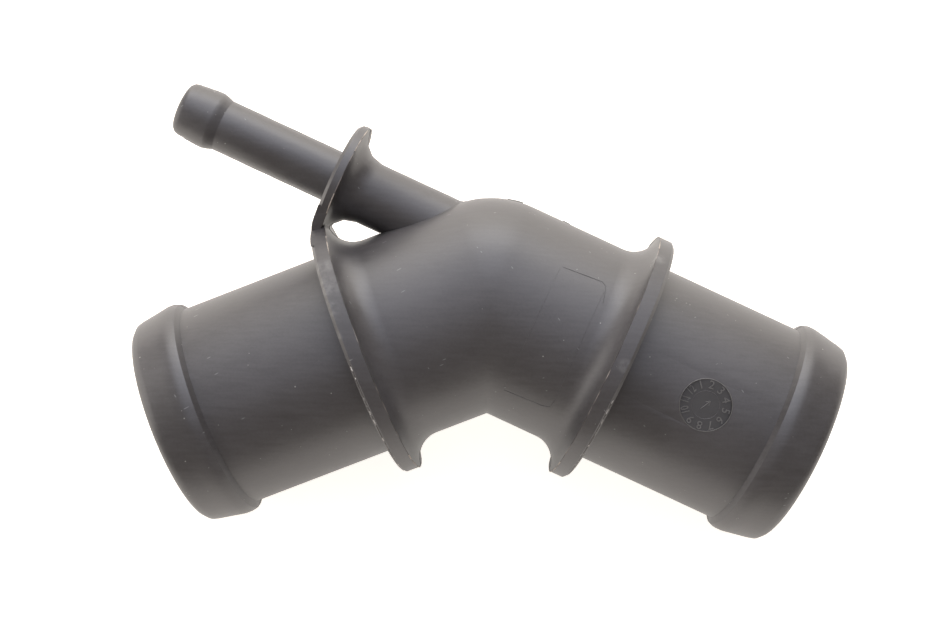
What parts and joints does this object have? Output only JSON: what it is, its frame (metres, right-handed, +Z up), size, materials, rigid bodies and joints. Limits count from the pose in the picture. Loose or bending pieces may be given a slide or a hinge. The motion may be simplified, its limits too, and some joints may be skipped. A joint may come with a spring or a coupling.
{
  "type": "coolant flange",
  "caption": "One-piece plastic hose connector: two equal beaded spigots meet in a shallow bend, each with a stop collar, and a slim vent spigot stands beside the bend.",
  "frame": {"origin": "on the floor under the middle of the bounding box, with the part lying on its two collars and two beads", "axes": "+X towards the rim of the right spigot's side, across the part's length; +Y towards the outside of the bend and the vent spigot; +Z up, out of the floor"},
  "size_m": [0.1094, 0.0656, 0.0401],
  "materials": {
    "glass_filled_nylon": "matte, dark grey, lightly marked"
  },
  "bodies": {
    "root": {"coolant_flange": "glass_filled_nylon"}
  },
  "joints": []
}
